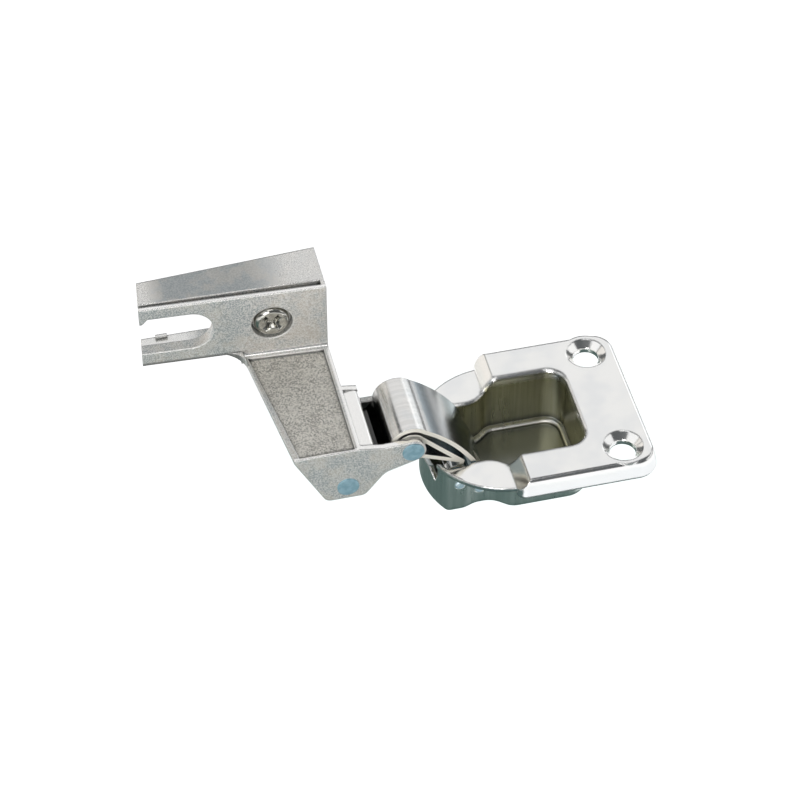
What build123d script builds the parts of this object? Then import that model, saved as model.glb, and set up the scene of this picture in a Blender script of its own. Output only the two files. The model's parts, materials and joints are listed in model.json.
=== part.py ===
from build123d import *
import os
from math import atan2, cos, degrees, radians, sin

os.makedirs("parts", exist_ok=True)

# Flap hinge, shown with the flap open at a right angle.
# Frame: millimetres, +Z up. The origin is the centre of the cup's bore on the flap's face.
# +X runs out along the flap, +Y runs along the pivots to the cabinet side that carries the arm.

# Clearances
running_clear = 0.05        # radial, pivot pins in links and screw in its boss
seat_clear = 0.02           # radial, riveted pins in the walls that hold them
side_clear = 0.45           # between the links and the walls beside them
open_pivot_clear = 1.05     # radial, inner link on the near cup pin

# Cup: pressed sheet, drawn well, raised flange with two countersunk holes
sheet = 1.0
bore_radius = 17.5          # bore drilled in the flap
ear_overlap = 0.25          # ears cover the edge of the bore
cup_depth = 12.2            # below the flap's face
flange_height = 4.2         # top of the raised flange above the flap's face
flange_flare = 0.85         # skirt spreads towards the flap
flange_half_width = 19.2
flange_end_x = 28.5
flange_step_x = 1.0         # top of the ramp between flange and ears
step_ramp = 2.7
flange_corner_radius = 5.0
flange_edge_radius = 0.9
step_radius = 1.2
skirt_corner_radius = 2.0
well_half_width = 11.0
well_end_x = 16.0
well_corner_radius = 4.2
waist_radius = 4.4
waist_from_near = 3.8       # straight wall at the waist, from the near pivot
waist_from_far = 2.6        # to here, from the far pivot
nose_ramp = 2.7
well_ramp = 3.7
nose_corner_radius = 1.6
nose_half_width = 9.0       # inside, round end of the cup
nose_rim_drop = 2.5         # mouth of the nose below the flap's face
nose_mouth_half_width = 7.4
notch_depth = 2.3
notch_width = 3.2
floor_radius = 1.2
floor_bend = 0.7            # outside bend radius above the inside one
mouth_radius = 0.8
hole_x = 22.4
hole_spacing = 28.0
hole_radius = 2.8
countersink_radius = 4.3
dimple_wall = 1.0
dimple_depth = 2.6

# Links: sheet strips bent round the pins
link_width = 15.2
link_sheet = 1.0
tongue_width = 9.0          # outer link where it enters the cup
hook_trim = 0.7             # off each side arm of the inner link, inside the round nose
arm_slot_gap = 0.5          # between the tongue and the side arms of the inner link

# Pivots in the X-Z plane
outer_pivot = (-35.5, 1.5)  # arm to outer link
inner_pivot = (-21.6, 8.5)  # arm to inner link
near_pivot = (-11.6, -3.6)  # cup to inner link
far_pivot = (-7.0, -6.8)    # cup to outer link
arm_pin_radius = 2.0
arm_pin_head_radius = 2.3
arm_pin_head = 0.3
cup_pin_radius = 1.1
cup_pin_stand_out = 0.35
knee_offset = (3.5, 4.0)    # outer link, from the near cup pivot
tongue_offset = (0.4, 4.2)  # outer link, from the far cup pivot
back_offset = (7.4, -0.3)   # outer link, from the inner arm pivot
fold_offset = (1.0, 4.6)    # inner link, from the near cup pivot

# Arm: one casting with a fork, a shelf and a slotted mounting channel
cheek = 1.4
lug_radius = 2.75
shelf_top = 11.8
shelf_thick = 2.4
shelf_right_x = -32.6
shelf_front_left_x = -46.6
shelf_back_left_x = -51.2
panel_sink = 0.6
panel_rim = 1.2
fork_foot_z = -2.0
foot_reach = 4.6            # from the outer pivot
foot_radius = 1.8
cheek_waist_radius = 4.0
cheek_rim = 1.0             # upright edge above the sloping side
scoop_depth = 4.6           # far cheek's edge between lip and lug, below the top of the shelf
scoop_slant = 0.8
fork_wall = 2.0
lip_reach = 3.2             # smooth lip at the open side of the fork
lip_drop = 0.5
lip_thick = 1.2
lip_radius = 1.0
channel_left_x = -72.0
channel_bottom = 12.6
channel_top = 28.6
rail_back_y = 30.0          # back edge of the lower flange, the seat of the arm
flange_back_left_y = 32.4   # back edge of the upper flange
flange_back_right_y = 34.6
flange_end_slant = 1.0
face_left_y = 24.0
face_right_y = 22.1
web = 2.6
flange_wall = 2.0
end_wall = 1.8
groove_width = 0.8
groove_end_width = 1.4
groove_depth = 1.3
groove_setback = 1.0
slot_width = 9.8
slot_length = 15.4
slot_rise = 0.3             # above the middle of the channel
nib_length = 2.6
nib_height = 1.3
nib_flat = 0.6
stud_length = 2.5
stud_height = 0.6
stud_thick = 0.9
stud_from_end = 3.8
inside_fillet = 4.0
corner_rise = 0.3           # rounded corner above the channel's bottom
cove_radius = 1.1

# Adjusting screw
screw_x = -44.3
screw_rise = -0.3           # above the middle of the channel
screw_radius = 3.0
screw_head_radius = 3.75
screw_head = 1.9
screw_recess_clear = 0.65
screw_recess_depth = 1.7
screw_boss_wall = 1.8
screw_boss_depth = 6.0
screw_length = 6.2
cross_width = 1.3
cross_length = 4.6
cross_depth = 1.3


def xz(point):
    """Point of the X-Z plane on the hinge's middle plane."""
    return Vector(point[0], 0, point[1])


def along_y(profile, width, start=None):
    """Solid of an X-Z profile, centred on the middle plane or from a given Y."""
    first = -width / 2 if start is None else start
    return Pos(0, first, 0) * extrude(Plane.XZ * profile, amount=-width)


def disc(centre, radius):
    return Pos(*centre) * Circle(radius)


def polar(centre, radius, angle):
    return (centre[0] + radius * cos(radians(angle)), centre[1] + radius * sin(radians(angle)))


def direction(start, end):
    return degrees(atan2(end[1] - start[1], end[0] - start[0]))


def pin(centre, radius, half_length):
    return Plane(xz(centre), z_dir=(0, 1, 0)) * Cylinder(radius, 2 * half_length)


# Cup
ear_radius = bore_radius + ear_overlap
wall_nose = nose_half_width + sheet
wall_waist = link_width / 2 + side_clear + sheet
wall_well = well_half_width + sheet
waist_left_x = near_pivot[0] + waist_from_near
waist_right_x = far_pivot[0] + waist_from_far
with BuildSketch() as body_plan:
    with BuildLine():
        nose_x = -(bore_radius ** 2 - wall_nose ** 2) ** 0.5
        half = Polyline(
            (nose_x, wall_nose),
            (waist_left_x - nose_ramp, wall_nose),
            (waist_left_x, wall_waist),
            (waist_right_x, wall_waist),
            (waist_right_x + well_ramp, wall_well),
            (well_end_x + sheet, wall_well),
            (well_end_x + sheet, 0),
        )
        nose = ThreePointArc((nose_x, wall_nose), (-bore_radius, 0), (nose_x, -wall_nose))
        mirror(half, about=Plane.XZ)
    make_face()
    corners = body_plan.vertices()
    fillet(corners.filter_by(lambda v: v.X > well_end_x), well_corner_radius + sheet)
    fillet(body_plan.vertices().group_by(Axis.X)[0], nose_corner_radius)
    waist_start = waist_left_x - nose_ramp - 0.1
    waist_end = waist_right_x + well_ramp + 0.1
    fillet(body_plan.vertices().filter_by(lambda v: waist_start < v.X < waist_end), waist_radius)
well_plan = offset(body_plan.sketch, -sheet)

body = Pos(0, 0, -cup_depth) * extrude(body_plan.sketch, amount=cup_depth + sheet / 2)
body = fillet(body.faces().sort_by(Axis.Z)[0].edges(), floor_radius + floor_bend)

# Cup: the step that runs from the ears up to the flange, seen along the pivots
step_foot_x = flange_step_x - step_ramp
with BuildSketch() as step_plan:
    with BuildLine():
        Polyline(
            (-2 * bore_radius, sheet),
            (step_foot_x, sheet),
            (flange_step_x, flange_height),
            (2 * flange_end_x, flange_height),
            (2 * flange_end_x, -cup_depth),
            (-2 * bore_radius, -cup_depth),
            close=True,
        )
    make_face()
    step_corners = step_plan.vertices().filter_by(lambda v: step_foot_x - 1 < v.X < flange_step_x + 1)
    fillet(step_corners, step_radius)
under_step = along_y(step_plan.sketch, 4 * flange_half_width)

flange_foot = Pos((step_foot_x + flange_end_x + flange_flare) / 2, 0) * Rectangle(
    flange_end_x + flange_flare - step_foot_x, 2 * (flange_half_width + flange_flare)
)
flange_foot = fillet(flange_foot.vertices().group_by(Axis.X)[-1], flange_corner_radius)
flange_foot = fillet(flange_foot.vertices().group_by(Axis.X)[0], skirt_corner_radius)
flare_angle = degrees(atan2(flange_flare, flange_height))
flange = extrude(flange_foot, amount=flange_height, taper=flare_angle)
flange = fillet(flange.faces().sort_by(Axis.Z)[-1].edges(), flange_edge_radius) & under_step
flange_hollow = extrude(offset(flange_foot, -sheet), amount=flange_height - sheet, taper=flare_angle)
flange_hollow &= Pos(sheet, 0, -sheet) * under_step

ears = extrude(Circle(ear_radius), amount=sheet)
ears -= Pos(ear_radius + flange_step_x, 0, 0) * Box(2 * ear_radius, 3 * ear_radius, 4 * sheet)

well_upper = extrude(body_plan.sketch, amount=flange_height) & under_step
well_upper_x = step_foot_x - 2 * step_radius
well_upper &= Pos(well_upper_x + bore_radius, 0, 0) * Box(2 * bore_radius, 4 * bore_radius, 4 * bore_radius)

holes = Locations((hole_x, hole_spacing / 2), (hole_x, -hole_spacing / 2))
dimples = [place * Pos(0, 0, flange_height - dimple_depth / 2)
           * Cylinder(countersink_radius + dimple_wall, dimple_depth) for place in holes]

well = Pos(0, 0, sheet - cup_depth) * extrude(well_plan, amount=cup_depth + flange_height)
well = fillet(well.faces().sort_by(Axis.Z)[0].edges(), floor_radius)

cup = flange - flange_hollow + ears + body + well_upper
for dimple in dimples:
    cup += dimple
cup -= well
mouth = cup.edges().filter_by(lambda e: e.center().Z > flange_height - 0.05
                              and abs(e.center().Y) < well_half_width + 0.3
                              and e.center().X < well_end_x + 0.3)
cup = fillet(mouth, mouth_radius)

mouth_x = -(bore_radius + sheet)
mouth_box = Pos(mouth_x, 0, -nose_rim_drop + 10) * Box(8, 2 * nose_mouth_half_width, 20)
cup -= mouth_box
for side in (1, -1):
    outer_y = side * nose_mouth_half_width
    inner_y = side * (nose_mouth_half_width - notch_width)
    tip_y = side * (nose_mouth_half_width - notch_width / 4)
    notch = Plane.YZ * make_face(Polyline(
        (outer_y, -nose_rim_drop + 0.1), (inner_y, -nose_rim_drop + 0.1),
        (tip_y, -nose_rim_drop - notch_depth), close=True))
    cup -= Pos(mouth_x - 1, 0, 0) * extrude(notch, amount=5)
for place in holes:
    cup -= place * Pos(0, 0, flange_height / 2) * Cylinder(hole_radius, 3 * flange_height)
    sink = countersink_radius - hole_radius
    cup -= place * Pos(0, 0, flange_height - sink / 2) * Cone(hole_radius, countersink_radius, sink)
for pivot in (near_pivot, far_pivot):
    cup -= pin(pivot, cup_pin_radius + seat_clear, bore_radius)

# Cup pins
near_pin = pin(near_pivot, cup_pin_radius, wall_nose + cup_pin_stand_out)
near_pin = chamfer(near_pin.edges(), 0.25)
far_pin = pin(far_pivot, cup_pin_radius, wall_waist + cup_pin_stand_out)
far_pin = chamfer(far_pin.edges(), 0.25)

# Outer link: eye on the arm, arch over the inner pivot, tongue down to the far cup pin
eye_radius = arm_pin_radius + running_clear + link_sheet
far_eye_radius = cup_pin_radius + running_clear + link_sheet
arch_radius = eye_radius + 1.25     # centre line of the arch, concentric with the inner pivot
rise_foot = polar(inner_pivot, arch_radius, 192)
arch_end = polar(inner_pivot, arch_radius, 46)
knee = (near_pivot[0] + knee_offset[0], near_pivot[1] + knee_offset[1])
tongue_top = (far_pivot[0] + tongue_offset[0], far_pivot[1] + tongue_offset[1])
back = (inner_pivot[0] + back_offset[0], inner_pivot[1] + back_offset[1])
far_touch = polar(far_pivot, far_eye_radius - link_sheet / 2, 8)
eye_touch = polar(outer_pivot, eye_radius - link_sheet / 2, 118)
with BuildLine() as outer_path:
    Polyline(eye_touch, (rise_foot[0] - 1.6, rise_foot[1] - 2.2), rise_foot)
    ThreePointArc(rise_foot, polar(inner_pivot, arch_radius, 110), arch_end)
    Spline(arch_end, back, knee, tongue_top, far_touch)
outer_strip = trace(outer_path.line, link_sheet)
outer_profile = outer_strip + disc(outer_pivot, eye_radius) + disc(far_pivot, far_eye_radius)
outer_profile -= disc(outer_pivot, arm_pin_radius + running_clear)
outer_profile -= disc(far_pivot, cup_pin_radius + running_clear)
outer_link = along_y(outer_profile, link_width)
side_trim = (link_width - tongue_width) / 2
for side in (1, -1):
    trim_y = side * (tongue_width + side_trim) / 2
    outer_link -= Pos(knee[0], trim_y, knee[1] - 10) * Box(14, side_trim, 20)

# Inner link: loop round the inner pivot, two legs to a knee, side arms to the near cup pin
near_eye_radius = cup_pin_radius + open_pivot_clear + link_sheet / 2
fold = (near_pivot[0] + fold_offset[0], near_pivot[1] + fold_offset[1])
leg_angle = direction(inner_pivot, fold)
with BuildLine() as upper_leg:
    Line(polar(inner_pivot, eye_radius - link_sheet / 2, leg_angle + 78), fold)
with BuildLine() as lower_leg:
    Line(polar(inner_pivot, eye_radius - link_sheet / 2, leg_angle - 78), fold)
with BuildLine() as stem:
    Line(fold, polar(near_pivot, near_eye_radius - link_sheet / 4, direction(near_pivot, fold)))
inner_profile = disc(inner_pivot, eye_radius) + disc(near_pivot, near_eye_radius)
for leg in (upper_leg, lower_leg, stem):
    inner_profile += trace(leg.line, link_sheet)
inner_profile += disc(fold, link_sheet / 2)
inner_profile -= disc(inner_pivot, arm_pin_radius + running_clear)
inner_profile -= disc(near_pivot, cup_pin_radius + open_pivot_clear)
inner_link = along_y(inner_profile, link_width)
gap = tongue_width + 2 * arm_slot_gap
window_x = fold[0] - 3.2
inner_link -= Pos(window_x + 10, 0, 0) * Box(20, gap, 40)
for side in (1, -1):
    trim_y = side * (link_width - hook_trim) / 2
    inner_link -= Pos(near_pivot[0], trim_y, fold[1] - 11) * Box(14, hook_trim, 20)

# Arm pins
fork_inside = link_width / 2 + side_clear
fork_outside = fork_inside + cheek


def arm_pin(centre):
    shank = pin(centre, arm_pin_radius, fork_outside)
    for side in (1, -1):
        head = Plane(xz(centre), z_dir=(0, 1, 0)) * Pos(0, 0, side * (fork_outside + arm_pin_head / 2))
        shank += head * Cylinder(arm_pin_head_radius, arm_pin_head)
    return shank


arm_pin_outer = arm_pin(outer_pivot)
arm_pin_inner = arm_pin(inner_pivot)

# Arm: fork cheeks
cheek_left = (shelf_front_left_x, shelf_top - cheek_rim)
foot_left = (outer_pivot[0] - foot_reach, fork_foot_z)
foot_right = (outer_pivot[0] + foot_reach - 1.0, fork_foot_z)
waist_low = (inner_pivot[0] - 6.0, inner_pivot[1] - 4.8)
with BuildSketch() as cheek_plan:
    with BuildLine():
        Polyline(
            (shelf_front_left_x, shelf_top),
            cheek_left,
            foot_left,
            foot_right,
            waist_low,
            (inner_pivot[0] + 0.6, inner_pivot[1] - lug_radius + 0.05),
            inner_pivot,
            (inner_pivot[0] - 0.8, inner_pivot[1] + lug_radius - 0.12),
            (inner_pivot[0] - 6.2, shelf_top - 0.9),
            (shelf_right_x, shelf_top),
            close=True,
        )
    make_face()
    fillet(cheek_plan.vertices().filter_by(lambda v: v.Y < fork_foot_z + 0.1), foot_radius)
    fillet(cheek_plan.vertices().sort_by_distance(Vector(*waist_low, 0))[0], cheek_waist_radius)
cheek_face = cheek_plan.sketch + disc(inner_pivot, lug_radius)
for pivot in (outer_pivot, inner_pivot):
    cheek_face -= disc(pivot, arm_pin_radius + seat_clear)
scoop_left_x = shelf_right_x + lip_reach
scoop_right_x = inner_pivot[0] - lug_radius
scoop = make_face(Polyline(
    (scoop_left_x, shelf_top + 1), (scoop_left_x, shelf_top - shelf_thick),
    (scoop_left_x + scoop_slant, shelf_top - scoop_depth), (scoop_right_x, shelf_top - scoop_depth),
    (inner_pivot[0], shelf_top + 1), close=True))
scoop -= disc(inner_pivot, lug_radius)
arm = along_y(cheek_face - scoop, cheek, start=fork_inside) + along_y(cheek_face, cheek, start=-fork_outside)

# Arm: closed side of the fork
fork_slope = make_face(Polyline(
    (shelf_front_left_x, shelf_top), cheek_left, foot_left,
    (foot_left[0] + fork_wall, foot_left[1]),
    (cheek_left[0] + fork_wall, cheek_left[1]),
    (cheek_left[0] + fork_wall, shelf_top), close=True))
fork_slope &= cheek_plan.sketch
arm += along_y(fork_slope, 2 * fork_outside)

# Arm: shelf with its sunk panel
face_angle = degrees(atan2(face_left_y - face_right_y, shelf_right_x - channel_left_x))


def face_y(x):
    """Y of the channel's front face."""
    share = (x - channel_left_x) / (shelf_right_x - channel_left_x)
    return face_left_y + (face_right_y - face_left_y) * share


def face_strip(left, right, front, back):
    """Plan of a strip along the channel's front face, between two distances behind it."""
    return make_face(Polyline(
        (left, face_y(left) + front), (right, face_y(right) + front),
        (right, face_y(right) + back), (left, face_y(left) + back), close=True))


shelf_plan = make_face(Polyline(
    (shelf_front_left_x, -fork_outside), (shelf_right_x, -fork_outside),
    (shelf_right_x, face_y(shelf_right_x) + web),
    (shelf_back_left_x, face_y(shelf_back_left_x) + web), close=True))
shelf = Pos(0, 0, shelf_top - shelf_thick) * extrude(shelf_plan, amount=shelf_thick)
shelf_foot = shelf.faces().sort_by(Axis.Z)[0].edges().sort_by(Axis.X)[0]
arm += chamfer(shelf_foot, shelf_thick - cheek_rim)
panel_back = cove_radius + 0.1
panel_plan = make_face(Polyline(
    (shelf_front_left_x + panel_rim, -fork_outside + panel_rim / 2),
    (shelf_right_x - panel_rim, -fork_outside + panel_rim / 2),
    (shelf_right_x - panel_rim, face_y(shelf_right_x) - panel_back),
    (shelf_back_left_x + panel_rim, face_y(shelf_back_left_x) - panel_back), close=True))
arm -= Pos(0, 0, shelf_top - panel_sink) * extrude(panel_plan, amount=shelf_thick)

# Arm: smooth lip on the open side of the fork
with BuildSketch() as lip:
    with BuildLine():
        Polyline(
            (shelf_right_x - 0.5, shelf_top - lip_drop - lip_thick),
            (shelf_right_x + lip_reach, shelf_top - lip_drop - lip_thick),
            (shelf_right_x + lip_reach, shelf_top - lip_drop),
            (shelf_right_x - 0.5, shelf_top - lip_drop),
            close=True,
        )
    make_face()
    fillet(lip.vertices().group_by(Axis.X)[-1].sort_by(Axis.Y)[-1], lip_radius)
arm += along_y(lip.sketch, 2 * fork_inside + cheek)

# Arm: mounting channel, open at the back and at its free end, under a wider upper flange
slant_share = (rail_back_y - face_left_y) / (flange_back_left_y - face_left_y)
rail_left_x = channel_left_x + flange_end_slant * slant_share
channel_plan = make_face(Polyline(
    (channel_left_x, face_left_y), (shelf_right_x, face_right_y),
    (shelf_right_x, rail_back_y), (rail_left_x, rail_back_y), close=True))
channel = Pos(0, 0, channel_bottom) * extrude(channel_plan, amount=channel_top - channel_bottom)
flange_plan = make_face(Polyline(
    (channel_left_x, face_left_y), (shelf_right_x, face_right_y),
    (shelf_right_x, flange_back_right_y),
    (channel_left_x + flange_end_slant, flange_back_left_y), close=True))
channel += Pos(0, 0, channel_top - flange_wall) * extrude(flange_plan, amount=flange_wall)
hollow_left = channel_left_x - end_wall
hollow_right = shelf_right_x - end_wall
hollow_plan = make_face(Polyline(
    (hollow_left, face_y(hollow_left) + web), (hollow_right, face_y(hollow_right) + web),
    (hollow_right, flange_back_right_y + 1), (hollow_left, flange_back_right_y + 1), close=True))
hollow_height = channel_top - channel_bottom - 2 * flange_wall
hollow = Pos(0, 0, channel_bottom + flange_wall) * extrude(hollow_plan, amount=hollow_height)

neck_plan = face_strip(shelf_back_left_x, shelf_right_x, 0, web)
neck_bottom = shelf_top - shelf_thick
neck = Pos(0, 0, neck_bottom) * extrude(neck_plan, amount=channel_bottom - neck_bottom + flange_wall)

# Arm: rounded inside corner between the channel and the left edge of the shelf
corner = (shelf_back_left_x, face_y(shelf_back_left_x))
sharp_plan = shelf_plan + face_strip(channel_left_x, shelf_right_x, 0, web)
sharp_corner = sharp_plan.vertices().sort_by_distance(Vector(*corner, 0))[0]
corner_plan = fillet(sharp_corner, inside_fillet) - sharp_plan
corner_box = corner_plan.bounding_box()
corner_foot = shelf_top - cheek_rim
corner_top = channel_bottom + corner_rise
corner_side = make_face(Polyline(
    (corner_box.min.X, corner_top), (corner_box.min.X, channel_bottom),
    (corner_box.max.X, corner_foot), (corner_box.max.X, corner_top), close=True))
corner_web = Pos(0, 0, corner_foot) * extrude(corner_plan, amount=corner_top - corner_foot)
corner_web &= along_y(corner_side, 4 * rail_back_y)

# Arm: cove between the channel's front face and the shelf
along_face = Vector(cos(radians(face_angle)), -sin(radians(face_angle)), 0)
out_of_face = Vector(-sin(radians(face_angle)), -cos(radians(face_angle)), 0)
cove_plane = Plane(origin=(shelf_right_x, face_right_y, shelf_top), x_dir=out_of_face, z_dir=-along_face)
cove_face = Pos(cove_radius / 2, cove_radius / 2) * Rectangle(cove_radius, cove_radius)
cove_face -= disc((cove_radius, cove_radius), cove_radius)
cove_length = (shelf_right_x - shelf_back_left_x) / cos(radians(face_angle))
cove = extrude(cove_plane * cove_face, amount=cove_length)

screw_z = (channel_bottom + channel_top) / 2 + screw_rise
face_plane = Plane(origin=(screw_x, face_y(screw_x), screw_z), x_dir=along_face, z_dir=out_of_face)
boss_radius = screw_radius + screw_boss_wall
boss = face_plane * Pos(0, 0, -screw_boss_depth / 2 - 0.5) * Cylinder(boss_radius, screw_boss_depth - 1)

stud_x = channel_left_x + stud_from_end + stud_length / 2
stud = Pos(stud_x, rail_back_y - stud_thick / 2, channel_bottom + flange_wall) * Box(
    stud_length, stud_thick, 2 * stud_height)

arm += channel - hollow + neck + corner_web + cove + boss + stud

slot_z = (channel_bottom + channel_top) / 2 + slot_rise
slot_end_x = channel_left_x + slot_length
slot_round = slot_end_x - slot_width / 2
slot_face = disc((slot_round, slot_z), slot_width / 2)
slot_face += Pos(slot_round - slot_length, slot_z) * Rectangle(2 * slot_length, slot_width)
slot_top = slot_z + slot_width / 2
nib = make_face(Polyline(
    (channel_left_x - 1, slot_top + 1), (channel_left_x - 1, slot_top - nib_height),
    (channel_left_x + nib_flat, slot_top - nib_height),
    (channel_left_x + nib_length, slot_top + 1), close=True))
slot_face -= nib
slot_front_y = face_right_y - 1
arm -= along_y(slot_face, face_left_y + web + 0.5 - slot_front_y, start=slot_front_y)

# Arm: groove beside the top of the front face, wider towards its closed end
groove_left = channel_left_x - end_wall
groove_right = shelf_right_x - end_wall / 2
groove_left_y = face_y(groove_left) + groove_setback
groove_right_y = face_y(groove_right) + groove_setback
groove_plan = make_face(Polyline(
    (groove_left, groove_left_y), (groove_right, groove_right_y),
    (groove_right, groove_right_y + groove_end_width),
    (groove_left, groove_left_y + groove_width), close=True))
arm -= Pos(0, 0, channel_top - groove_depth) * extrude(groove_plan, amount=2 * groove_depth)

# Arm: seat and bore of the adjusting screw
recess_radius = screw_head_radius + screw_recess_clear
arm -= face_plane * Pos(0, 0, screw_recess_depth / 2) * Cylinder(recess_radius, 3 * screw_recess_depth)
arm -= face_plane * Cylinder(screw_radius + running_clear, 4 * screw_boss_depth)

# Adjusting screw: pan head with a cross recess, plain-rooted shank
head_seat = face_plane * Pos(0, 0, -screw_recess_depth)
screw = head_seat * Pos(0, 0, screw_head / 2) * Cylinder(screw_head_radius, screw_head)
screw = fillet(screw.edges().sort_by(Axis.Y)[0], screw_head * 0.55)
screw += head_seat * Pos(0, 0, -screw_length / 2) * Cylinder(screw_radius, screw_length)
screw = chamfer(screw.edges().sort_by(Axis.Y)[-1], 0.8)
for turn in (45, 135):
    cross = Rot(0, 0, turn) * Box(cross_length, cross_width, 2 * cross_depth)
    screw -= head_seat * Pos(0, 0, screw_head) * cross

parts = {
    "hinge_arm": arm,
    "adjusting_screw": screw,
    "arm_pin_outer": arm_pin_outer,
    "arm_pin_inner": arm_pin_inner,
    "outer_link": outer_link,
    "inner_link": inner_link,
    "hinge_cup": cup,
    "cup_pin_near": near_pin,
    "cup_pin_far": far_pin,
}
for name, shape in parts.items():
    export_step(shape, f"parts/{name}.step")
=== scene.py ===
# %% [markdown]
# # Flap hinge: from packed model to finished picture
# The hinge has three kinds of metal: a grainy nickel-plated casting for the arm, bright pressed
# sheet for the cup, and smooth strip for the links that join them. The solids arrive from the CAD
# model with every piece already in its place, in metres. This lesson gives each piece its finish,
# makes one screw with a thread, sets up a small studio and puts the camera where the photographer stood.

# %% Load the packed model
import json
from math import atan2, cos, hypot, pi, radians, sin, tau

import bmesh
import bpy
from mathutils import Matrix, Vector


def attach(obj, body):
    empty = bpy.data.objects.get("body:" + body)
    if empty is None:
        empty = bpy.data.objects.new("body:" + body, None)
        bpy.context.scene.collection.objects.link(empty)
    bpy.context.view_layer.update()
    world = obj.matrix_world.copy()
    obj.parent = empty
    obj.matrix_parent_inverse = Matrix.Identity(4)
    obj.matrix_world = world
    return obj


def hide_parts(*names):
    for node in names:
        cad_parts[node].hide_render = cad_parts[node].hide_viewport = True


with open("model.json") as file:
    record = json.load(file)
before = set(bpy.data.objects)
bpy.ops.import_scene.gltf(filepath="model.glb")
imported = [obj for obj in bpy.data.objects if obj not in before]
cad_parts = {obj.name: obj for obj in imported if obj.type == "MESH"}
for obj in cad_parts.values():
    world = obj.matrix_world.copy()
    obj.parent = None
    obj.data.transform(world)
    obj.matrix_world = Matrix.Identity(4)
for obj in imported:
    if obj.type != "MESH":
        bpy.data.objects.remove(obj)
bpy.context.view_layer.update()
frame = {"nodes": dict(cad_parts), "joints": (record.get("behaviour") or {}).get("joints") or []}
nodes = frame["nodes"]
MM = 0.001
print("pieces:", sorted(nodes))

# %% [markdown]
# ## A small language for finishes
# The surface of real metal changes from place to place, and a shader says how with a graph of nodes.
# The graph could be wired one node at a time, but that hides the idea behind the wiring. Here `Signal`
# wraps one socket and lets ordinary arithmetic add the nodes, so `1 - mask` makes a Subtract node.

# %% Signals
class Signal:
    """One value coming out of a socket; arithmetic on it adds Math nodes."""

    def __init__(self, finish, socket):
        self.finish = finish
        self.socket = socket

    def _math(self, operation, first, second=0.0, clamp=False):
        settings = {"operation": operation, "use_clamp": clamp}
        return self.finish.node("ShaderNodeMath", settings, {0: first, 1: second})

    def __add__(self, other):
        return self._math("ADD", self, other)

    def __sub__(self, other):
        return self._math("SUBTRACT", self, other)

    def __rsub__(self, other):
        return self._math("SUBTRACT", other, self)

    def __mul__(self, other):
        return self._math("MULTIPLY", self, other)

    def __abs__(self):
        return self._math("ABSOLUTE", self)

    __radd__ = __add__
    __rmul__ = __mul__

    def clamped(self):
        return self._math("ADD", self, 0.0, clamp=True)

    def rise(self, low, high):
        """0 at low, 1 at high, smooth between them; low may be the larger for a fall."""
        return self.finish.node("ShaderNodeMapRange", {"interpolation_type": "SMOOTHSTEP"},
                                {"Value": self, "From Min": low, "From Max": high})

    def rise_mm(self, low, high):
        """The same for a coordinate, with both places in millimetres."""
        return self.rise(low * MM, high * MM)


print("a signal knows:", [name.strip("_") for name in vars(Signal) if callable(getattr(Signal, name))])

# %% [markdown]
# ### One finish, one graph
# A finish on the real part is one plating bath or one press tool. In the script it is one material.
# Each material could repeat the same setup lines, so a class does that once: it makes the material,
# reads the place on the object, and its single `node` method makes every node. Coordinates come from
# the object and not from the view, so the pattern stays on the metal when the camera moves.

# %% Finishes
class Finish:
    """One procedural material, ending in a single Principled shader."""

    def __init__(self, name):
        self.material = bpy.data.materials.new(name)
        self.material.use_nodes = True
        self.tree = self.material.node_tree
        self.shader = self.tree.nodes["Principled BSDF"]
        self.place = self.node("ShaderNodeTexCoord", {}, {}, "Object")
        self.facing = Signal(self, self.place.socket.node.outputs["Normal"])

    def node(self, kind, settings, values, output=0):
        made = self.tree.nodes.new(kind)
        for key, value in settings.items():
            setattr(made, key, value)
        for key, value in values.items():
            self.feed(made.inputs[key], value)
        return Signal(self, made.outputs[output])

    def feed(self, socket, value):
        if isinstance(value, Signal):
            self.tree.links.new(value.socket, socket)
        elif isinstance(value, tuple) and socket.type == "RGBA":
            socket.default_value = (*value, 1.0)
        else:
            socket.default_value = value

    def axes(self, vector):
        parts = self.node("ShaderNodeSeparateXYZ", {}, {"Vector": vector})
        return [Signal(self, out) for out in parts.socket.node.outputs]

    def noise(self, scale, detail, roughness, stretch=(1, 1, 1)):
        """Cloudy pattern, with `scale` features to a millimetre; a small stretch draws it out that way."""
        spread = self.node("ShaderNodeMapping", {}, {
            "Vector": self.place, "Scale": tuple(part / MM for part in stretch)})
        return self.node("ShaderNodeTexNoise", {}, {
            "Vector": spread, "Scale": scale, "Detail": detail, "Roughness": roughness})

    def mix(self, amount, first, second):
        return self.node("ShaderNodeMix", {"data_type": "RGBA"}, {0: amount, 6: first, 7: second}, 2)

    def bump(self, height, distance, normal):
        return self.node("ShaderNodeBump", {}, {"Height": height, "Distance": distance, "Normal": normal})

    def surface(self, **inputs):
        for name, value in inputs.items():
            self.feed(self.shader.inputs[name.replace("_", " ").title()], value)
        return self.material


def wear(node_name, material):
    """Give a CAD piece its finish in place of the plain one it came with."""
    mesh = nodes[node_name].data
    mesh.materials.clear()
    mesh.materials.append(material)
    print(node_name, "wears", material.name, "with", len(material.node_tree.nodes), "nodes")


print("plain materials that came with the pieces:", len(bpy.data.materials))

# %% [markdown]
# ### Soft edges and painted shade in corners
# No cast or pressed edge is perfectly sharp, and the corners and seams get painted shade. The edges
# could be bevelled in the mesh, but the CAD meshes stay as they came. A Bevel node turns only the
# normals near an edge, which is enough to catch the light. An Ambient Occlusion node that looks at
# its own piece alone finds the corners for that painted shade, so they need no painting by hand.

# %% Soft edges and painted shade in corners
def rounded_edges(finish, radius):
    """Normals that turn smoothly over every edge."""
    return finish.node("ShaderNodeBevel", {"samples": 6}, {"Radius": radius})


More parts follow.
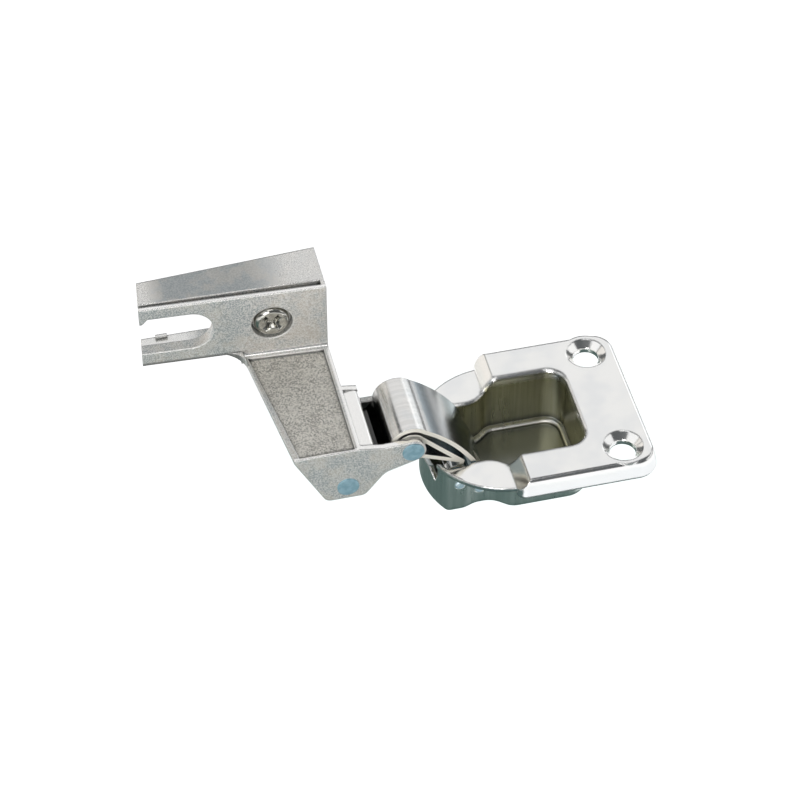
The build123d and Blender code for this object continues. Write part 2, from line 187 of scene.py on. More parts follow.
def edge_mask(finish, soft):
    """Above 0 where the soft normal leaves the true one, which is along edges."""
    true = finish.node("ShaderNodeNewGeometry", {}, {}, "True Normal")
    alike = finish.node("ShaderNodeVectorMath", {"operation": "DOT_PRODUCT"}, {0: soft, 1: true}, "Value")
    return 1 - alike


def crevice(finish, reach):
    """1 deep in corners and seams, 0 in the open; used to place painted shade."""
    settings = {"samples": 8, "only_local": True}
    return 1 - finish.node("ShaderNodeAmbientOcclusion", settings, {"Distance": reach}, "AO")


CAST_EDGE = 0.50 * MM
CAST_SEAM = 0.9 * MM
print("the casting's edges are rounded in mm by", CAST_EDGE / MM, "and its seams reach", CAST_SEAM / MM)

# %% [markdown]
# ## Casting
# The arm is a zinc die casting with a thin matte nickel plate. Its sunk panel is coarser, because the
# die was left rough there. Its lip, rims and front edges are smoother and paler, partly rubbed bright and
# partly a painted highlight. Such regions could be painted on the mesh, but the mesh stays as it came. So
# each region is a mask, worked out from the place on the piece and the way the surface faces. The heights,
# in millimetres, are those of the solid.

# %% Masks of the shelf and the fork
SHELF_TOP = 11.8
SHELF_RIGHT = -32.6
LIP_FOOT = 9.6
FRONT_RIM = -8.6
SHADOW_LINE_FRONT = -7.7
FORK_LEFT = -33.0
FORK_HALF_WIDTH = 8.3
FORK_TOP = 9.8


def shelf_masks(finish):
    """The sunk panel with a painted shadow line at its front, the lip beside the link, the rim and the cove.
    """
    x, y, z = finish.axes(finish.place)
    up = finish.axes(finish.facing)[2]
    flat = up.rise(0.8, 0.95)
    beside = x.rise_mm(SHELF_RIGHT - 0.9, SHELF_RIGHT - 0.5)
    sunk = z.rise_mm(SHELF_TOP - 0.25, SHELF_TOP - 0.4) * z.rise_mm(SHELF_TOP - 0.9, SHELF_TOP - 0.7)
    panel = flat * sunk * (1 - beside)
    # A painted shadow line along the panel's front edge, under the front rim.
    front_painted_shadow = panel * y.rise_mm(SHADOW_LINE_FRONT, SHADOW_LINE_FRONT - 0.8)
    lip_height = z.rise_mm(LIP_FOOT, LIP_FOOT + 0.6) * z.rise_mm(SHELF_TOP + 0.6, SHELF_TOP)
    lip = beside * up.rise(0.1, 0.4) * lip_height
    rim_height = z.rise_mm(SHELF_TOP - 0.2, SHELF_TOP - 0.1) * z.rise_mm(SHELF_TOP + 0.3, SHELF_TOP + 0.1)
    rim = flat * rim_height * y.rise_mm(FRONT_RIM, FRONT_RIM - 0.2)
    cove_height = z.rise_mm(SHELF_TOP, SHELF_TOP + 0.2) * z.rise_mm(SHELF_TOP + 1.4, SHELF_TOP + 1.0)
    cove = up.rise(0.2, 0.5) * cove_height
    return {"panel": panel, "front_painted_shadow": front_painted_shadow, "lip": lip, "rim": rim, "cove": cove}


def fork_mask(finish):
    """The space between the fork's cheeks, which is darkened as painted shade."""
    x, y, z = finish.axes(finish.place)
    between = abs(y).rise_mm(FORK_HALF_WIDTH, FORK_HALF_WIDTH - 0.1)
    return x.rise_mm(FORK_LEFT, FORK_LEFT + 1.0) * between * z.rise_mm(FORK_TOP, FORK_TOP - 1.2)


print("shelf top in mm:", SHELF_TOP, "fork half width:", FORK_HALF_WIDTH)

# %% [markdown]
# ### The mounting channel
# The channel behind the shelf has a broad top flange, a sloping front face with the slot in it, and a
# rail under the slot. The top is pale at both ends and bluish in the middle. The front face slopes a
# little across the part, so the distance behind it is a straight-line formula in x and y. That is
# shorter than turning the coordinates, and it needs only two numbers.

# %% Masks of the channel
CHANNEL_TOP = 28.6
FACE_SLOPE = 0.0482
FACE_AT_ZERO = 20.53 * MM
RAIL_FOOT = 14.2
RAIL_TOP = 15.4
UNDERSIDE_TOP = 13.5
UNDERSIDE_RIGHT = -50.5
PALE_RIGHT_END = (-50.0, -37.0)
PALE_LEFT_END = (-65.0, -71.0)
RAIL_FADE = (-56.0, -63.0)


def channel_masks(finish):
    """The top flange with its pale ends and front strip, the rail, and the underside, which gets painted
    shade.
    """
    x, y, z = finish.axes(finish.place)
    flat = finish.axes(finish.facing)[2].rise(0.8, 0.95)
    behind_face = y + x * FACE_SLOPE - FACE_AT_ZERO
    top = flat * z.rise_mm(CHANNEL_TOP - 0.3, CHANNEL_TOP - 0.1)
    ends = top * (x.rise_mm(*PALE_RIGHT_END) + x.rise_mm(*PALE_LEFT_END)).clamped()
    strip = top * behind_face.rise_mm(1.0, 0.9)
    rail_height = z.rise_mm(RAIL_FOOT, RAIL_FOOT + 0.2) * z.rise_mm(RAIL_TOP + 0.4, RAIL_TOP)
    rail = flat * rail_height * x.rise_mm(*RAIL_FADE)
    below = z.rise_mm(UNDERSIDE_TOP, UNDERSIDE_TOP - 0.6) * x.rise_mm(UNDERSIDE_RIGHT, UNDERSIDE_RIGHT - 1.5)
    # The underside of the channel is darkened as painted shade.
    underside = below * behind_face.rise_mm(0.3, 0.1)
    return {"ends": ends, "plain_top": top * (1 - ends), "strip": strip, "rail": rail, "underside": underside}


print("channel top in mm:", CHANNEL_TOP, "rail from", RAIL_FOOT, "to", RAIL_TOP)

# %% [markdown]
# ### Cast nickel
# Matte nickel on a casting has a grain of about a third of a millimetre, with cloudy patches where the
# plate is thicker and bluer. A photographed texture would show the grain too, but it would tie the
# piece to one picture. Noise at several sizes gives such a skin at any distance: clouds, grain, and a
# coarser grain with blotches for the rough panel.

# %% Colours of the casting
WARM_PLATE, BLUE_PLATE = (0.66, 0.625, 0.57), (0.44, 0.475, 0.485)
PALE_PLATE, PALE_GRAIN = (0.99, 0.97, 0.94), (0.90, 0.89, 0.865)
DIE_DARK, DIE_LIGHT, DIE_BLOTCH = (0.42, 0.40, 0.36), (1.0, 0.97, 0.91), (0.98, 0.95, 0.88)
# The darkest colour here is painted shade for seams, corners, the fork, the underside and the panel's front
# line; the palest is partly wear and partly a painted highlight.
SEAM_PAINTED_SHADE, WEAR_AND_HIGHLIGHT_PALE = (0.05, 0.055, 0.05), (0.99, 0.975, 0.955)


def cast_skin(finish, mask, grain):
    """Cloudy plate with a pale grain; the ends of the top are paler and its middle is bluer."""
    cloud = finish.noise(0.20, 4.0, 0.62)
    blue = (cloud.rise(0.38, 0.62) + mask["plain_top"] * 0.45).clamped()
    plate = finish.mix(blue, WARM_PLATE, BLUE_PLATE)
    plate = finish.mix(mask["ends"] * 0.85, plate, PALE_PLATE)
    pale_grain = grain.rise(0.43, 0.57) * (0.95 - mask["ends"] * 0.6 - mask["plain_top"] * 0.60)
    return finish.mix(pale_grain, plate, PALE_GRAIN)


def rough_die(finish, coarse):
    """The skin of the sunk panel: coarse grain with worn, paler blotches."""
    blotch = finish.noise(0.35, 3.0, 0.6)
    speckle = finish.mix(coarse.rise(0.39, 0.59), DIE_DARK, DIE_LIGHT)
    return finish.mix(blotch.rise(0.40, 0.70) * 0.45, speckle, DIE_BLOTCH)


print("plate colours, warm and blue:", WARM_PLATE, BLUE_PLATE)

# %% [markdown]
# ### Wear, painted highlight and painted shade on the casting
# Hands and tools polish what stands out, and what lies deep gets painted shade. The two could be drawn with
# a brush. Here the edge mask brightens as wear, the worked regions brighten partly as wear and partly as
# a painted highlight, and the seam mask darkens as painted shade, so both follow the shape by itself. The
# grain also lifts the surface a little, except where it was rubbed smooth.

# %% Cast nickel
GRAIN_LIFT = 0.10 * MM


def cast_nickel():
    finish = Finish("cast_nickel")
    mask = shelf_masks(finish) | channel_masks(finish)
    polish_and_painted_highlight = (mask["rim"] + mask["cove"] + mask["strip"] + mask["rail"] * 0.8).clamped()
    soft = rounded_edges(finish, CAST_EDGE)
    seam = crevice(finish, CAST_SEAM)
    edge = edge_mask(finish, soft).rise(0.004, 0.06) * seam.rise(0.42, 0.22)
    grain = finish.noise(3.3, 3.0, 0.7)
    coarse = finish.noise(2.8, 3.0, 0.75)
    body = finish.mix(mask["panel"], cast_skin(finish, mask, grain), rough_die(finish, coarse))
    # Painted shade: seams and corners, the space inside the fork, the channel's underside and the panel's
    # front line are darkened.
    corner_painted_shade = seam.rise(0.12, 0.50) * 0.9 + fork_mask(finish) * 0.93
    shade = (corner_painted_shade + mask["underside"] * 0.7 + mask["front_painted_shadow"] * 0.8).clamped()
    body = finish.mix(shade, body, SEAM_PAINTED_SHADE)
    # The lip, rim, cove, strip and rail are paled partly as rubbed wear and partly as a painted highlight;
    # the edges as wear.
    wear_and_painted_highlight = (mask["lip"] + polish_and_painted_highlight * 0.9 + edge * (1 - mask["underside"])).clamped()
    colour = finish.mix(wear_and_painted_highlight, body, WEAR_AND_HIGHLIGHT_PALE)
    smooth = (mask["lip"] + polish_and_painted_highlight).clamped()
    dull = 0.44 + (grain - 0.5) * 0.25 + mask["panel"] * 0.12
    dull = dull - wear_and_painted_highlight * 0.14 - smooth * 0.08 - mask["ends"] * 0.20
    shine = (0.6 + smooth * 0.35 + mask["ends"] * 0.3 - shade * 0.3).clamped()
    height = (grain * 0.8 + coarse * mask["panel"] * 1.6) * (1 - smooth * 0.95)
    relief = finish.bump(height, GRAIN_LIFT, soft)
    return finish.surface(base_color=colour, metallic=shine, roughness=dull.clamped(), normal=relief)


wear("hinge_arm", cast_nickel())

# %% [markdown]
# ## Bright pressed sheet
# The cup is pressed from sheet and plated bright, so its flange mirrors the room. Where the well was
# drawn down through the press the surface is stretched, and it is duller there. Its walls also carry a
# painted reflection, greenish outside, and painted shade, olive inside and darkest on the well's floor.
# The cup could be split into an inner and an outer skin with two materials. Masks from place and facing
# keep it one piece with one material, as the real one is.

# %% Masks of the cup
WELL_MOUTH_HALF = 12.2
WELL_MOUTH_END = 17.2
WELL_FLOOR = -10.5
BEAD_HEIGHT = -10.1
MOUTH_HEIGHT = (-3.0, -1.0)
WALL_HEIGHT = (3.4, 1.4)
SKIRT_SIDE = (13.0, 14.0)
SKIRT_END = (19.0, 20.0)
RAMP_HEIGHT = (0.6, 1.2)
RAMP_RIGHT = (2.4, 1.4)
NEAR_SIDE = (4.0, -4.0)


def cup_masks(finish):
    """Walls, skirt, inside, well floor, the bead round the floor, the near ramp and the well's mouth."""
    x, y, z = finish.axes(finish.place)
    nx, ny, nz = finish.axes(finish.facing)
    wall = abs(nz).rise(0.80, 0.40) * z.rise_mm(*WALL_HEIGHT)
    inside = (x * nx + y * ny).rise_mm(0.5, -0.5)
    skirt = (wall * abs(y).rise_mm(*SKIRT_SIDE) + wall * x.rise_mm(*SKIRT_END)).clamped()
    well_floor = z.rise_mm(WELL_FLOOR + 2.5, WELL_FLOOR)
    bead = inside * z.rise_mm(BEAD_HEIGHT + 0.3, BEAD_HEIGHT) * nz.rise(0.97, 0.85)
    ramp = nx.rise(-0.25, -0.5) * z.rise_mm(*RAMP_HEIGHT) * x.rise_mm(*RAMP_RIGHT)
    opening = abs(y).rise_mm(WELL_MOUTH_HALF + 1.2, WELL_MOUTH_HALF)
    mouth = opening * x.rise_mm(WELL_MOUTH_END + 1.2, WELL_MOUTH_END) * z.rise_mm(*MOUTH_HEIGHT)
    return {"inside": inside, "skirt": skirt, "well_floor": well_floor, "bead": bead,
            "depth": (wall * (1 - skirt) + well_floor * inside).clamped(),
            "near_ramp": ramp * y.rise_mm(*NEAR_SIDE), "mouth": mouth}


print("well floor in mm:", WELL_FLOOR, "mouth half width:", WELL_MOUTH_HALF)

# %% [markdown]
# ### Bright nickel
# A drawn wall carries faint upright lines from the press, and a flat bright sheet is never quite flat.
# The lines could be cut into the mesh, but they are far finer than its faces. A noise that is stretched
# along the height draws them, and a slow noise bends the mirror a little. The mouth of the well has a
# wider bend than the other edges, so its rounding is larger there.

# %% Bright nickel
MIRROR_LIGHT, MIRROR_MIST = (0.95, 0.94, 0.92), (0.88, 0.88, 0.88)
OUTER_REFLECTION_DARK, OUTER_REFLECTION_LIGHT = (0.68, 0.76, 0.73), (0.78, 0.86, 0.83)
INNER_SHADE_DARK, INNER_SHADE_LIGHT = (0.31, 0.30, 0.165), (0.38, 0.365, 0.23)
FLOOR_SHADE, RAMP_PAINTED_REFLECTION = (0.06, 0.066, 0.05), (0.55, 0.53, 0.45)
BEAD_PAINTED_HIGHLIGHT, SKIRT_PAINTED_SHADE = (0.95, 0.93, 0.86), (0.80, 0.815, 0.825)
UPRIGHT_LINES = (1.4, 1.4, 0.05)
SHEET_EDGE = 0.50 * MM
MOUTH_EXTRA = 0.7 * MM
SHEET_LIFT = 0.04 * MM


def wall_painted_reflection_and_shade(finish, mask, draw):
    """Painted reflection and shade on the drawn walls: greenish outside, olive inside, darkest on the floor
    of the well.
    """
    outer = finish.mix(draw.rise(0.30, 0.70), OUTER_REFLECTION_DARK, OUTER_REFLECTION_LIGHT)
    inner = finish.mix(draw.rise(0.35, 0.65), INNER_SHADE_DARK, INNER_SHADE_LIGHT)
    inner = finish.mix(mask["well_floor"] * 0.9, inner, FLOOR_SHADE)
    return finish.mix(mask["inside"], outer, inner)


def bright_nickel():
    finish = Finish("bright_nickel")
    mask = cup_masks(finish)
    draw = finish.noise(1.0, 2.0, 0.5, UPRIGHT_LINES)
    mist = finish.noise(0.16, 2.0, 0.5)
    ripple = finish.noise(0.30, 1.0, 0.4)
    mirror = finish.mix(mist.rise(0.35, 0.70), MIRROR_LIGHT, MIRROR_MIST)
    # The drawn walls take a painted reflection outside and painted shade inside and on the well's floor.
    colour = finish.mix(mask["depth"] * 0.92, mirror, wall_painted_reflection_and_shade(finish, mask, draw))
    # The near ramp gets a tan painted reflection.
    colour = finish.mix(mask["near_ramp"] * 0.65, colour, RAMP_PAINTED_REFLECTION)
    # A painted highlight along the rounded corner round the well's floor.
    colour = finish.mix(mask["bead"] * 0.9, colour, BEAD_PAINTED_HIGHLIGHT)
    # The outside of the skirt gets a greyer mirror colour as painted shade.
    colour = finish.mix(mask["skirt"] * (1 - mask["inside"]), colour, SKIRT_PAINTED_SHADE)
    dull = 0.12 + mist * 0.06 + mask["depth"] * (0.10 + draw * 0.08)
    soft = rounded_edges(finish, SHEET_EDGE + mask["mouth"] * MOUTH_EXTRA)
    relief = finish.bump(ripple * 0.4 + draw * mask["depth"] * 0.25, SHEET_LIFT, soft)
    return finish.surface(base_color=colour, metallic=1.0, roughness=dull.clamped(), normal=relief)


wear("hinge_cup", bright_nickel())

# %% [markdown]
# ## Strip links
# The links are cut from rolled strip and bent round the pins. Rolling leaves fine streaks along the
# strip. They could follow the bend by unwrapping it, but the links bend only about the pins' direction.
# So a noise that changes across the strip alone gives streaks that run with it everywhere. The slope
# into the cup carries a painted reflection, bluer and darker towards the cup, the cut sides are pale and
# matte, and the end inside the fork is darkened as painted shade.

# %% Link steel
STREAKS = (0.04, 2.2, 0.04)
STRIP_DARK, STRIP_LIGHT, STRIP_MIST = (0.78, 0.765, 0.745), (0.86, 0.845, 0.825), (0.68, 0.71, 0.73)
SLOPE_REFLECTION_BLUE, CUP_END_REFLECTION_BLUE = (0.50, 0.57, 0.61), (0.30, 0.38, 0.40)
CUT_PALE, FORK_PAINTED_SHADE = (0.96, 0.92, 0.83), (0.03, 0.03, 0.03)
SLOPE_START = (-18.0, -17.0)
SLOPE_FADE = (-16.5, -14.5)
CUP_END = (-13.0, -10.0)
FORK_END = (-25.4, -26.6)
STRIP_EDGE = 0.20 * MM
STREAK_LIFT = 0.004 * MM


def link_colour(finish, streak, mist, cut):
    """Streaked plate with a painted reflection, bluer and darker towards the cup; pale cut sides; painted
    shade in the fork.
    """
    x = finish.axes(finish.place)[0]
    slope = x.rise_mm(*SLOPE_START) * (1 - x.rise_mm(*SLOPE_FADE) * 0.6)
    colour = finish.mix(streak.rise(0.3, 0.7), STRIP_DARK, STRIP_LIGHT)
    colour = finish.mix(mist.rise(0.45, 0.70) * 0.30, colour, STRIP_MIST)
    # A painted reflection: bluer on the slope into the cup, darker and bluer at the cup's end.
    colour = finish.mix(slope * 0.8, colour, SLOPE_REFLECTION_BLUE)
    colour = finish.mix(x.rise_mm(*CUP_END) * 0.75, colour, CUP_END_REFLECTION_BLUE)
    colour = finish.mix(cut, colour, CUT_PALE)
    # The end inside the fork is darkened as painted shade.
    return finish.mix(x.rise_mm(*FORK_END) * 0.94, colour, FORK_PAINTED_SHADE)


def link_steel():
    finish = Finish("link_steel")
    streak = finish.noise(1.0, 2.0, 0.55, STREAKS)
    mist = finish.noise(0.22, 2.0, 0.5)
    cut = abs(finish.axes(finish.facing)[1]).rise(0.80, 0.95)
    colour = link_colour(finish, streak, mist, cut)
    dull = 0.15 + streak * 0.08 + mist * 0.05 + cut * 0.2
    relief = finish.bump(streak, STREAK_LIFT, rounded_edges(finish, STRIP_EDGE))
    return finish.surface(base_color=colour, metallic=1 - cut * 0.8, roughness=dull.clamped(), normal=relief)


strip_steel = link_steel()
wear("outer_link", strip_steel)
wear("inner_link", strip_steel)

# %% [markdown]
# ## Pins
# The pivot pins carry a blue zinc plate, and their ends were flattened when they were riveted. The
# hammer marks could be modelled as small dents. A gentle bump gives the same uneven shine, because the
# marks are only a few hundredths of a millimetre deep. The cup's pins are paler than the arm's.

# %% Pin zinc
SMALL_EDGE = 0.25 * MM
TAP_LIFT = 0.05 * MM


def pin_zinc(name, dark, light):
    finish = Finish(name)
    tap = finish.noise(0.9, 2.0, 0.5)
    colour = finish.mix(tap.rise(0.35, 0.65), dark, light)
    relief = finish.bump(tap, TAP_LIFT, rounded_edges(finish, SMALL_EDGE))
    return finish.surface(base_color=colour, metallic=0.55, roughness=0.34 + tap * 0.15, normal=relief)


blue_zinc = pin_zinc("blue_zinc", (0.32, 0.54, 0.65), (0.44, 0.66, 0.77))
pale_zinc = pin_zinc("pale_zinc", (0.52, 0.70, 0.80), (0.74, 0.88, 0.95))
wear("arm_pin_outer", blue_zinc)
wear("arm_pin_inner", blue_zinc)
wear("cup_pin_near", pale_zinc)
wear("cup_pin_far", pale_zinc)

# %% [markdown]
# ## Adjusting screw
# The real screw is turned from bar, with a rounded head, a cross recess punched for the driver and a
# rolled thread that holds it in its boss. In the CAD model its shank is plain, so the scene makes
# the screw again. Its length and head could be typed in a second time. They are measured from the CAD
# piece along the joint's axis, so that the new screw keeps to the place of the old one.

# %% Measure the screw's place
turn = next(joint for joint in frame["joints"] if joint["name"] == "screw_turn")
screw_foot = Vector(turn["pos_m"])
screw_axis = Vector(turn["axis"])
reaches = [vertex.co - screw_foot for vertex in nodes["adjusting_screw"].data.vertices]
SCREW_TIP = min(reach.dot(screw_axis) for reach in reaches)
SCREW_TOP = max(reach.dot(screw_axis) for reach in reaches)
HEAD_RADIUS = max(reach.cross(screw_axis).length for reach in reaches)
print("screw from tip to top in mm:", round((SCREW_TOP - SCREW_TIP) / MM, 2))
print("head radius in mm:", round(HEAD_RADIUS / MM, 2))

# %% [markdown]
# ### Spin the outline
# A turned part is the same all round, so half of its section says everything. It could be joined from
# a cylinder and a dome, but the seam between them would have to be cleaned. One outline spun round the
# axis has no seam. The shank's line is first divided into rings, which the thread will need, and the
# flat on the head stays open for the recess.

# %% Spin the outline
TURN_STEPS = 64
SHANK_RADIUS = 3.0 * MM
SCREW_SEAT = SCREW_TOP - 1.9 * MM
CROWN = 1.05 * MM
CROWN_STEPS = 6
TIP_CHAMFER = 0.6 * MM
PITCH = 1.0 * MM
RINGS_PER_PITCH = 8
SHANK_LINE = 2
WELD = 0.001 * MM


def screw_outline():
    """Half section from the tip's middle to the edge of the flat on the head."""
    points = [(0, SCREW_TIP), (SHANK_RADIUS - TIP_CHAMFER, SCREW_TIP)]
    points += [(SHANK_RADIUS, SCREW_TIP + TIP_CHAMFER), (SHANK_RADIUS, SCREW_SEAT), (HEAD_RADIUS, SCREW_SEAT)]
    for step in range(CROWN_STEPS + 1):
        angle = radians(90 * step / CROWN_STEPS)
        points.append((HEAD_RADIUS - CROWN * (1 - cos(angle)), SCREW_TOP - CROWN * (1 - sin(angle))))
    return points


shape = bmesh.new()
corners = [shape.verts.new((radius, 0, height)) for radius, height in screw_outline()]
lines = [shape.edges.new(pair) for pair in zip(corners, corners[1:])]
rings = round(lines[SHANK_LINE].calc_length() / PITCH * RINGS_PER_PITCH)
bmesh.ops.subdivide_edges(shape, edges=[lines[SHANK_LINE]], cuts=rings - 1)
bmesh.ops.spin(shape, geom=list(shape.verts) + list(shape.edges), axis=(0, 0, 1), angle=tau,
               steps=TURN_STEPS, use_merge=True)
bmesh.ops.remove_doubles(shape, verts=shape.verts, dist=WELD)
print("spun faces:", len(shape.faces), "rings on the shank:", rings)

# %% [markdown]
# ### Cut the thread
# A real thread is rolled: the blank is squeezed between dies until a helix stands out. It could be a
# small triangle swept along a helix, but such a sweep is hard to close at its ends. Here the points of
# the shank are pulled in by a depth that depends on height and turn together. The mesh stays closed,
# and the depth fades out towards both ends, where the thread runs out.

# %% Cut the thread
THREAD_DEPTH = 0.5 * MM
ON_SHANK = 0.01 * MM


def cut_thread(shape):
    """Pull the shank's points in along a helix and return how many were moved."""
    start, end = SCREW_TIP + TIP_CHAMFER, SCREW_SEAT
    moved = 0
    for vertex in shape.verts:
        x, y, z = vertex.co
        if abs(hypot(x, y) - SHANK_RADIUS) < ON_SHANK and start < z < end:
            phase = (z / PITCH - atan2(y, x) / tau) % 1
            fade = min(1, (z - start) / PITCH + 0.5, (end - z) / PITCH)
            keep = 1 - THREAD_DEPTH * abs(2 * phase - 1) * fade / SHANK_RADIUS
            vertex.co = (x * keep, y * keep, z)
            moved += 1
    return moved


print("thread points moved:", cut_thread(shape))

# %% [markdown]
# ### Outline the recess
# The driver's cross has four arms round a small socket. It could be two crossed bars, but then the
# inner corners would be sharp, and a punch has none. So the arms are joined by short arcs of the
# socket, all worked out from three sizes.

# %% Outline the recess
ARM_REACH = 2.5 * MM
ARM_WIDTH = 1.2 * MM
SOCKET_RADIUS = 1.55 * MM


def cross_outline():
    """Four arms joined by short arcs of a round socket."""
    half_turn = ARM_WIDTH / 2 / SOCKET_RADIUS
    points = []
    for arm in range(4):
        middle_angle = radians(45 + 90 * arm)
        along = Vector((cos(middle_angle), sin(middle_angle), 0))
        across = Vector((-along.y, along.x, 0))
        points += [along * ARM_REACH - across * ARM_WIDTH / 2, along * ARM_REACH + across * ARM_WIDTH / 2]
        for share in (0, 0.5, 1):
            angle = middle_angle + half_turn + share * (pi / 2 - 2 * half_turn)
            points.append(Vector((cos(angle), sin(angle), 0)) * SOCKET_RADIUS)
    return points


mouth = [shape.verts.new(point + Vector((0, 0, SCREW_TOP))) for point in cross_outline()]
print("points round the recess:", len(mouth))

# %% [markdown]
# ### Punch the recess
# A punch leaves a recess that narrows downwards, with a small round at its mouth. A Boolean cut would
# do it, but it can leave slivers. Filling the flat around the cross and pushing the cross down keeps
# every face known. The cross is scaled as it goes down, and its mouth is bevelled.

# %% Punch the recess
RECESS_DEPTH = 1.4 * MM
RECESS_TAPER = 0.5
RECESS_EDGE = 0.18 * MM

flat_rim = [edge for edge in shape.edges if edge.is_boundary]
recess = shape.faces.new(mouth)
bmesh.ops.triangle_fill(shape, edges=flat_rim + list(recess.edges), use_beauty=True, normal=(0, 0, 1))
pushed = bmesh.ops.extrude_face_region(shape, geom=[recess])["geom"]
floor_points = [item for item in pushed if isinstance(item, bmesh.types.BMVert)]
bmesh.ops.translate(shape, verts=floor_points, vec=(0, 0, -RECESS_DEPTH))
bmesh.ops.scale(shape, verts=floor_points, vec=(RECESS_TAPER, RECESS_TAPER, 1))
bmesh.ops.delete(shape, geom=[recess], context="FACES_ONLY")
lip_edges = [edge for edge in shape.edges if all(vertex in mouth for vertex in edge.verts)]
bmesh.ops.bevel(shape, geom=lip_edges, offset=RECESS_EDGE, affect="EDGES", segments=2,
                profile=0.5, material=-1)
bmesh.ops.recalc_face_normals(shape, faces=shape.faces)
print("open edges left:", sum(not edge.is_manifold for edge in shape.edges))

# %% [markdown]
# ### Screw steel
# The screw is plain plated steel, with a head that is worn by the driver and painted shade in its
# recess. The painted shade could be a second material on the faces of the recess. The crevice mask
# darkens them instead, so the painted shade is deepest where the recess is.

# %% Screw steel
STEEL_DARK, STEEL_LIGHT, STEEL_PAINTED_SHADE = (0.50, 0.49, 0.45), (0.72, 0.71, 0.66), (0.07, 0.07, 0.06)
SHADE_REACH = 1.2 * MM


def screw_steel():
    finish = Finish("screw_steel")
    rub = finish.noise(0.8, 3.0, 0.6)
    colour = finish.mix(rub.rise(0.35, 0.65), STEEL_DARK, STEEL_LIGHT)
    # Painted shade in the cross recess, from the crevice mask.
    colour = finish.mix(crevice(finish, SHADE_REACH).rise(0.30, 0.65) * 0.9, colour, STEEL_PAINTED_SHADE)
    relief = finish.bump(rub, TAP_LIFT, rounded_edges(finish, SMALL_EDGE))
    return finish.surface(base_color=colour, metallic=1.0, roughness=0.08 + rub * 0.12, normal=relief)


steel = screw_steel()
print("screw finish:", steel.name, "with", len(steel.node_tree.nodes), "nodes")

# %% [markdown]
# ### Put the screw in its boss
# The screw was made upright at the origin, because that keeps its formulas short. The object could be
# turned and moved into place. Its points are moved instead, so the object itself stays at the origin
# like every other piece. It then takes the CAD piece's place and turns with the screw's own body.

# %% Put the screw in its boss
SHARP_ANGLE = 32

turned = screw_axis.to_track_quat("Z", "Y").to_matrix().to_4x4()
bmesh.ops.transform(shape, matrix=Matrix.Translation(screw_foot) @ turned, verts=shape.verts)
screw_mesh = bpy.data.meshes.new("threaded_screw")
shape.to_mesh(screw_mesh)
shape.free()
screw_mesh.shade_smooth()
screw_mesh.set_sharp_from_angle(angle=radians(SHARP_ANGLE))
screw_mesh.materials.append(steel)
screw = bpy.data.objects.new("threaded_screw", screw_mesh)
bpy.context.scene.collection.objects.link(screw)
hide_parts("adjusting_screw")
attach(screw, "screw")
print("screw triangles:", sum(len(face.vertices) - 2 for face in screw_mesh.polygons))
print("finishes:", sorted(material.name for material in bpy.data.materials if material.users))

# %% [markdown]
# ## Studio floor and cards
# A hinge hangs from its mount, so the pale floor lies well below it. Bright metal looks like what
# stands round it, and photographers put dark cards beside it to give its walls a tone. The walls could
# be painted darker, but then they would stay dark from every side. A card low in front gives the
# upright walls their green-grey, and one behind on the right draws a thin dark line along the flange.
# The camera doesn't see the cards, and they throw no shadow.

# %% Floor and cards
FLOOR_Z = -0.16
CARD_Z = FLOOR_Z + 0.004
FLOOR_SIZE = (6, 6)
FLOOR_GLOW = 0.62
SHEET_ROUGHNESS = 0.9


def flat_sheet(name, size, place, colour, glow=0.0):
    sheet_shape = bmesh.new()
    bmesh.ops.create_grid(sheet_shape, x_segments=1, y_segments=1, size=0.5,
                          matrix=Matrix.Translation(place) @ Matrix.Diagonal((*size, 1, 1)))
    mesh = bpy.data.meshes.new(name)
    sheet_shape.to_mesh(mesh)
    sheet_shape.free()
    sheet = bpy.data.objects.new(name, mesh)
    bpy.context.scene.collection.objects.link(sheet)
    finish = Finish(name)
    fibre = finish.mix(finish.noise(0.02, 2.0, 0.5), colour, tuple(part * 0.98 for part in colour))
    mesh.materials.append(finish.surface(base_color=fibre, roughness=SHEET_ROUGHNESS,
                                         emission_color=(1.0, 1.0, 1.0), emission_strength=glow))
    return sheet


flat_sheet("floor", FLOOR_SIZE, (0, 0, FLOOR_Z), (0.93, 0.93, 0.93), FLOOR_GLOW)
cards = [flat_sheet("front_card", (0.83, 0.455), (-0.285, -0.0575, CARD_Z), (0.125, 0.20, 0.187)),
         flat_sheet("right_card", (0.50, 0.50), (0.62, 0.60, CARD_Z), (0.10, 0.11, 0.11))]
for card in cards:
    card.visible_camera = False
    card.visible_shadow = False

# %% [markdown]
# ## Studio lights
# A product photographer lights metal with broad soft boxes, because a mirror shows the shape of the
# lamp. One sky of even light would be simpler, but it leaves bright metal flat. Here a wide panel
# behind, with a smaller one on each side, gives the flat tops their white. Two walls of light at the
# sides show in the curved links, and two fills lift the top and the front. All of them aim at the
# middle of the view.

# %% Lights
MIDDLE = Vector((-0.0204, 0.0074, 0.0066))
WORLD_COLOUR = (0.92, 0.97, 1.0, 1.0)
WORLD_STRENGTH = 0.12


def soft_light(name, place, size, power, colour=(1, 1, 1)):
    lamp = bpy.data.lights.new(name, "AREA")
    lamp.shape = "RECTANGLE"
    lamp.size, lamp.size_y = size
    lamp.energy = power
    lamp.color = colour
    holder = bpy.data.objects.new(name, lamp)
    holder.location = place
    holder.rotation_euler = (MIDDLE - Vector(place)).to_track_quat("-Z", "Y").to_euler()
    bpy.context.scene.collection.objects.link(holder)


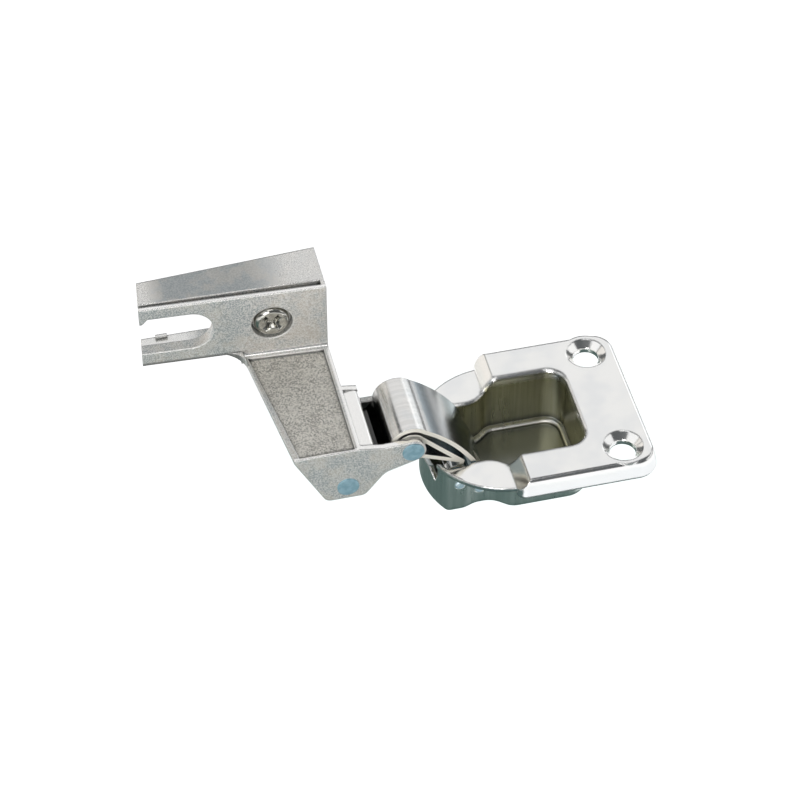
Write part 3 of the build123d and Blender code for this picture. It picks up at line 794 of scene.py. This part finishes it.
soft_light("back_panel", place=(0.16, 0.70, 0.76), size=(1.50, 0.62), power=2.25)
soft_light("left_panel", place=(-0.95, 0.68, 0.20), size=(0.9, 0.80), power=1.8, colour=(1.0, 0.955, 0.90))
soft_light("right_panel", place=(0.85, 0.80, 0.42), size=(0.42, 0.6), power=0.75, colour=(0.95, 0.98, 1.0))
soft_light("top_fill", place=(-0.12, -0.42, 1.05), size=(0.6, 0.5), power=1.7)
soft_light("right_wall", place=(1.0, -0.10, 0.40), size=(1.1, 0.5), power=1.5)
soft_light("left_wall", place=(-0.85, -0.28, 0.66), size=(1.2, 0.45), power=1.5)
soft_light("front_fill", place=(-0.40, -0.95, 0.34), size=(0.45, 0.40), power=4.4, colour=(1.0, 0.99, 0.97))
world = bpy.data.worlds.new("studio")
bpy.context.scene.world = world
world.use_nodes = True
world.node_tree.nodes["Background"].inputs["Color"].default_value = WORLD_COLOUR
world.node_tree.nodes["Background"].inputs["Strength"].default_value = WORLD_STRENGTH
bpy.context.scene.view_settings.view_transform = "Standard"
print("power of all lights in watts:", round(sum(lamp.energy for lamp in bpy.data.lights), 2))

# %% [markdown]
# ## Camera
# The photographer stood above the hinge and a little to its left, with a long lens, so the far end of
# the arm hardly shrinks. The place could be typed in as three coordinates. Two angles and a distance
# say the same and are easier to check against the photograph.

# %% Camera
AZIMUTH = radians(-13.5)
ELEVATION = radians(46)
DISTANCE = 0.60
SENSOR_WIDTH = 36.0
FOCAL_LENGTH = 128.1
NEAREST = 0.01

outward = Vector((sin(AZIMUTH) * cos(ELEVATION), -cos(AZIMUTH) * cos(ELEVATION), sin(ELEVATION)))
lens = bpy.data.cameras.new("camera")
lens.sensor_width = SENSOR_WIDTH
lens.lens = FOCAL_LENGTH
lens.clip_start = NEAREST
viewer = bpy.data.objects.new("camera", lens)
viewer.location = MIDDLE + outward * DISTANCE
viewer.rotation_euler = (-outward).to_track_quat("-Z", "Y").to_euler()
bpy.context.scene.collection.objects.link(viewer)
bpy.context.scene.camera = viewer
print("camera stands at:", [round(part, 4) for part in viewer.location])

# %% [markdown]
# ## Finish
# The finished model must stay the size of the CAD model. The eye could judge that from the picture,
# but a small slip would not show.
